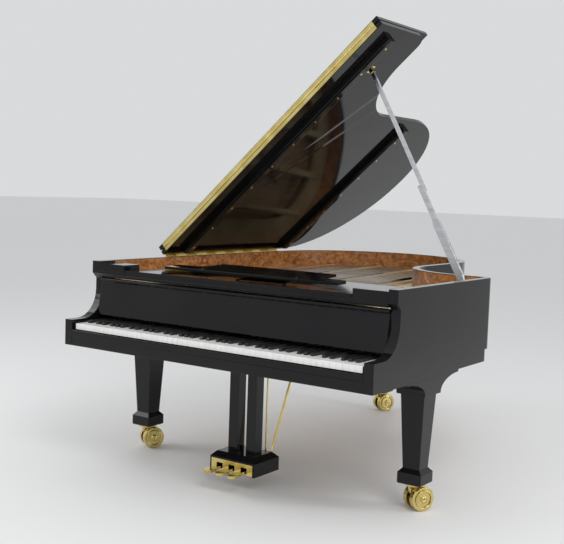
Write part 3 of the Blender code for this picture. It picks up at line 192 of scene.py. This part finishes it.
slot_of = {item["node"]: item["material_slot"] for item in frame["record"]["subparts"]}
for name, node in nodes.items():
    look = FINISHES[slot_of[name]]
    if not node.material_slots:
        node.data.materials.append(look)
    for place in node.material_slots:
        place.material = look
    width = EDGE.get(slot_of[name])
    if width:
        weld = node.modifiers.new("weld", "WELD")
        weld.merge_threshold = WELD_WITHIN
        rounding = node.modifiers.new("arris", "BEVEL")
        rounding.width = width
        rounding.segments = 2
        rounding.limit_method = "ANGLE"
        rounding.angle_limit = ARRIS_ANGLE
print("dressed", len(nodes))


# %% [markdown]
# Wires, pins and screws are many and small. A curve with a bevel could draw each, but a cone of few sides set
# along its own line is lighter, and a whole row of them is one mesh.


# %% Helpers for small round pieces
def rod_between(mesh, start, end, radius, sides):
    along = end - start
    turn = Vector((0, 0, 1)).rotation_difference(along.normalized()).to_matrix().to_4x4()
    place = Matrix.Translation((start + end) / 2) @ turn
    bmesh.ops.create_cone(mesh, cap_ends=True, segments=sides, radius1=radius, radius2=radius,
                          depth=along.length, matrix=place)


def shape(name, mesh, look, smooth=True):
    data = bpy.data.meshes.new(name)
    bmesh.ops.recalc_face_normals(mesh, faces=mesh.faces)
    mesh.to_mesh(data)
    mesh.free()
    for face in data.polygons:
        face.use_smooth = smooth and len(face.vertices) == 4
    data.materials.append(look)
    made = bpy.data.objects.new(name, data)
    bpy.context.collection.objects.link(made)
    return made


def piece(name, mesh, look, body, smooth=True):
    made = shape(name, mesh, FINISHES[look], smooth)
    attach(made, body)
    return made


# %% [markdown]
# Strings run from the tuning pins over the web of the plate, fanned as its struts are, to the flange at the
# tail. The flange is curved, so no one length fits them. A ray cast down on the plate, a step at a time,
# tells how far back each string goes before it meets the flange.

# %% How far back a string goes
STRING_RISE = 0.0015
STRUT_RISE = 0.012
LEVEL_MARGIN = 0.002
FIRST_LOOK = 0.34
NEAREST_FLANGE = 0.40
LONGEST_STRING = 1.9
LOOK_STEP = 0.01
ON_THE_FLANGE = 0.02
ABOVE_THE_PLATE = 1.2
DOWN = Vector((0, 0, -1))

plate_low, plate_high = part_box("plate")
plate_width = plate_high.x - plate_low.x
plate_tree = BVHTree.FromObject(nodes["plate"], bpy.context.evaluated_depsgraph_get())
string_z = plate_high.z + STRING_RISE
flange_z = plate_high.z - STRUT_RISE


def string_end(front, lean):
    """The point where this string reaches the rear flange."""
    reach = FIRST_LOOK
    while reach < LONGEST_STRING:
        x = front.x + lean * reach
        y = front.y + reach
        hit = plate_tree.ray_cast(Vector((x, y, ABOVE_THE_PLATE)), DOWN)[0]
        if hit is not None and abs(hit.z - flange_z) < LEVEL_MARGIN and reach > NEAREST_FLANGE:
            return Vector((x, y + ON_THE_FLANGE, string_z))
        reach += LOOK_STEP
    return None


print("strings lie at", round(string_z, 4), "m")

# %% [markdown]
# The bass has one thick string to a note, wound with copper, and the rest have three of plain steel. The pins
# stand in two staggered rows, so that a tuning lever fits over each.

# %% Strings and tuning pins
UNISONS = 76
FIRST_PLAIN = 0.22
SIDE_MARGIN = 0.10
PIN_ROW = 0.075
ROW_STAGGER = 0.022
PIN_STAGGER = 0.010
STRAND_SPACING = 0.0045
BASS_LEAN = -0.075
LEAN_GAIN = -0.03
PLAIN_RADIUS = 0.0005
WOUND_RADIUS = 0.0014
PIN_RADIUS = 0.0033
PIN_FOOT = Vector((0, 0, -0.013))
PIN_HEAD = Vector((0, 0, 0.020))

pin_row_y = plate_low.y + PIN_ROW
plain, wound, pins = bmesh.new(), bmesh.new(), bmesh.new()
count = 0
for number in range(UNISONS):
    share = number / (UNISONS - 1)
    is_plain = share > FIRST_PLAIN
    x = plate_low.x + SIDE_MARGIN + share * (plate_width - 2 * SIDE_MARGIN)
    lean = BASS_LEAN + LEAN_GAIN * share
    for strand in range(3 if is_plain else 1):
        y = pin_row_y + ROW_STAGGER * (number % 2) + PIN_STAGGER * strand
        front = Vector((x + (strand - 1) * STRAND_SPACING, y, string_z))
        end = string_end(front, lean)
        if end is None:
            continue
        if is_plain:
            rod_between(plain, front, end, PLAIN_RADIUS, 5)
        else:
            rod_between(wound, front, end, WOUND_RADIUS, 5)
        rod_between(pins, front + PIN_FOOT, front + PIN_HEAD, PIN_RADIUS, 8)
        count += 1
piece("plain_strings", plain, "steel", "case")
piece("wound_strings", wound, "copper", "case")
piece("tuning_pins", pins, "steel", "case")
print(count, "strings")

# %% [markdown]
# A damper head is a small black block that rests on its strings just behind the web. Each is a cube scaled to
# size, and one Bevel softens all of their edges.

# %% Dampers
DAMPERS = 58
DAMPER_SIZE = (0.0075, 0.050, 0.012)
DAMPER_REACH = 0.72
FIRST_DAMPER = 0.095
BEHIND_THE_PINS = 0.325
DAMPER_RISE = 0.0075

blocks = bmesh.new()
for number in range(DAMPERS):
    share = number / (DAMPERS - 1)
    x = plate_low.x + FIRST_DAMPER + share * plate_width * DAMPER_REACH
    made = bmesh.ops.create_cube(blocks, size=1.0)["verts"]
    bmesh.ops.scale(blocks, vec=DAMPER_SIZE, verts=made)
    bmesh.ops.translate(blocks, vec=(x, pin_row_y + BEHIND_THE_PINS, string_z + DAMPER_RISE), verts=made)
dampers = piece("damper_heads", blocks, "ebony", "case", smooth=False)
rounded = dampers.modifiers.new("edge", "BEVEL")
rounded.width = 0.001
rounded.segments = 2
print(DAMPERS, "dampers")

# %% [markdown]
# Each batten under the lid is held by a row of screws whose heads show. The battens slope with the lid, so
# their corners are turned back to the lid's own flat frame, where the row is a straight line, and each head
# is turned out again.

# %% Batten screws
LID_ANGLE = math.radians(41.4)
LID_HINGE = Vector((-0.806, 0, 0.9345))
FIRST_SCREW = 0.05
LAST_SCREW = 0.03
HEAD_SUNK = 0.001
HEAD_PROUD = 0.0012
HEAD_RADIUS = 0.0055

to_lid = Matrix.Translation(LID_HINGE) @ Matrix.Rotation(-LID_ANGLE, 4, "Y")
from_lid = to_lid.inverted()


def batten_screws(node, spacing):
    corners = [from_lid @ vertex.co for vertex in nodes[node].data.vertices]
    low = Vector(map(min, *corners))
    high = Vector(map(max, *corners))
    heads = bmesh.new()
    x = low.x + FIRST_SCREW
    y = (low.y + high.y) / 2
    while x < high.x - LAST_SCREW:
        sunk = to_lid @ Vector((x, y, low.z + HEAD_SUNK))
        proud = to_lid @ Vector((x, y, low.z - HEAD_PROUD))
        rod_between(heads, sunk, proud, HEAD_RADIUS, 16)
        x += spacing
    piece(node.replace("batten", "screws"), heads, "brass", "lid")


batten_screws("lid_batten_front", 0.158)
batten_screws("lid_batten_rear", 0.146)
print("screws in both battens")

# %% [markdown]
# A caster wheel is turned on a lathe, which leaves a raised ring near the rim and a small one at the hub. A
# short profile is spun a full turn about the axle, so each ring is one smooth closed shape.


# %% Rings on the casters
AXLE_TURN = math.radians(-30)
RING_FOOT = -0.001
RING_SHOULDER = 0.6
RINGS = ((0.036, 0.0025, 0.0022), (0.009, 0.005, 0.004))
SPIN_STEPS = 32


def wheel_trim(name):
    wheels = f"caster_wheels_{name}"
    low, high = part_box(wheels)
    centre = (low + high) / 2
    axle = Vector((math.cos(AXLE_TURN), math.sin(AXLE_TURN), 0))
    across = axle.cross(Vector((0, 0, 1)))
    face = max((vertex.co - centre).dot(axle) for vertex in nodes[wheels].data.vertices)
    trim = bmesh.new()
    for side in (-1, 1):
        for radius, half, rise in RINGS:
            steps = (
                (radius - half, RING_FOOT),
                (radius - half, rise * RING_SHOULDER),
                (radius, rise),
                (radius + half, rise * RING_SHOULDER),
                (radius + half, RING_FOOT),
            )
            corners = [
                trim.verts.new(centre + side * (face + out) * axle + reach * across) for reach, out in steps
            ]
            after = corners[1:] + corners[:1]
            loop = [trim.edges.new(pair) for pair in zip(corners, after)]
            bmesh.ops.spin(trim, geom=corners + loop, cent=centre, axis=axle, angle=2 * math.pi,
                           steps=SPIN_STEPS, use_merge=True)
    piece(f"caster_rings_{name}", trim, "brass", wheels)


for name in ("bass", "treble", "tail"):
    wheel_trim(name)
print("rings on three casters")

# %% [markdown]
# The floor is one plain pale sheet that runs out to the horizon, where a pale world takes over. It isn't part
# of the piano.

# %% Floor and world
FLOOR_REACH = 60
PALE = (0.80, 0.80, 0.80, 1)

pale = bpy.data.materials.new("pale_floor")
pale.use_nodes = True
pale.node_tree.nodes["Principled BSDF"].inputs["Base Color"].default_value = PALE
pale.node_tree.nodes["Principled BSDF"].inputs["Roughness"].default_value = 0.6
sheet = bmesh.new()
bmesh.ops.create_grid(sheet, x_segments=2, y_segments=2, size=FLOOR_REACH)
shape("floor", sheet, pale, smooth=False)
world = bpy.data.worlds.new("studio")
bpy.context.scene.world = world
world.use_nodes = True
world.node_tree.nodes["Background"].inputs["Color"].default_value = (0.93, 0.94, 0.95, 1)
world.node_tree.nodes["Background"].inputs["Strength"].default_value = 0.75
print("floor and world")

# %% [markdown]
# Two broad soft lamps stand before the piano, one on each side, and a narrow one on the treble side draws a
# long highlight on the lacquer.


# %% Lamps
def lamp(name, place, aim, size, power):
    data = bpy.data.lights.new(name, "AREA")
    data.shape = "RECTANGLE"
    data.size, data.size_y = size
    data.energy = power
    made = bpy.data.objects.new(name, data)
    bpy.context.collection.objects.link(made)
    made.location = place
    made.rotation_euler = (Vector(aim) - Vector(place)).to_track_quat("-Z", "Y").to_euler()


lamp("key_lamp", (3.5, -3.0, 4.5), (0, 0, 0.8), (2.5, 2.5), 110)
lamp("fill_lamp", (-4.0, -2.5, 3.0), (0, 0, 0.8), (2.5, 2.5), 60)
lamp("strip_lamp", (4.0, 1.0, 1.8), (0, 0, 0.9), (0.5, 3.0), 40)
print("three lamps")

# %% [markdown]
# The camera stands where the photograph was taken from: a little above the keys, to the treble side, and
# tilted slightly about its own line of sight. Its three directions are worked out from those angles and set
# as the columns of its matrix, which leaves no doubt about the order of the turns.

# %% Camera
HEADING = math.radians(34.85)
PITCH = math.radians(4.77)
ROLL = math.radians(1.97)
CAMERA_PLACE = (2.532, -4.201, 1.288)

ahead = Vector((-math.sin(HEADING) * math.cos(PITCH), math.cos(HEADING) * math.cos(PITCH), -math.sin(PITCH)))
right = Vector((math.cos(HEADING), math.sin(HEADING), 0))
up = right.cross(ahead)
level_right = math.cos(ROLL) * right + math.sin(ROLL) * up
level_up = -math.sin(ROLL) * right + math.cos(ROLL) * up
lens = bpy.data.cameras.new("camera")
lens.lens = 63.2
lens.sensor_width = 36
lens.clip_end = 100
view_point = bpy.data.objects.new("camera", lens)
bpy.context.collection.objects.link(view_point)
turn = Matrix((level_right, level_up, -ahead)).transposed().to_4x4()
view_point.matrix_world = Matrix.Translation(CAMERA_PLACE) @ turn
bpy.context.scene.camera = view_point
bpy.context.scene.view_settings.view_transform = "Standard"
print("camera at", CAMERA_PLACE)
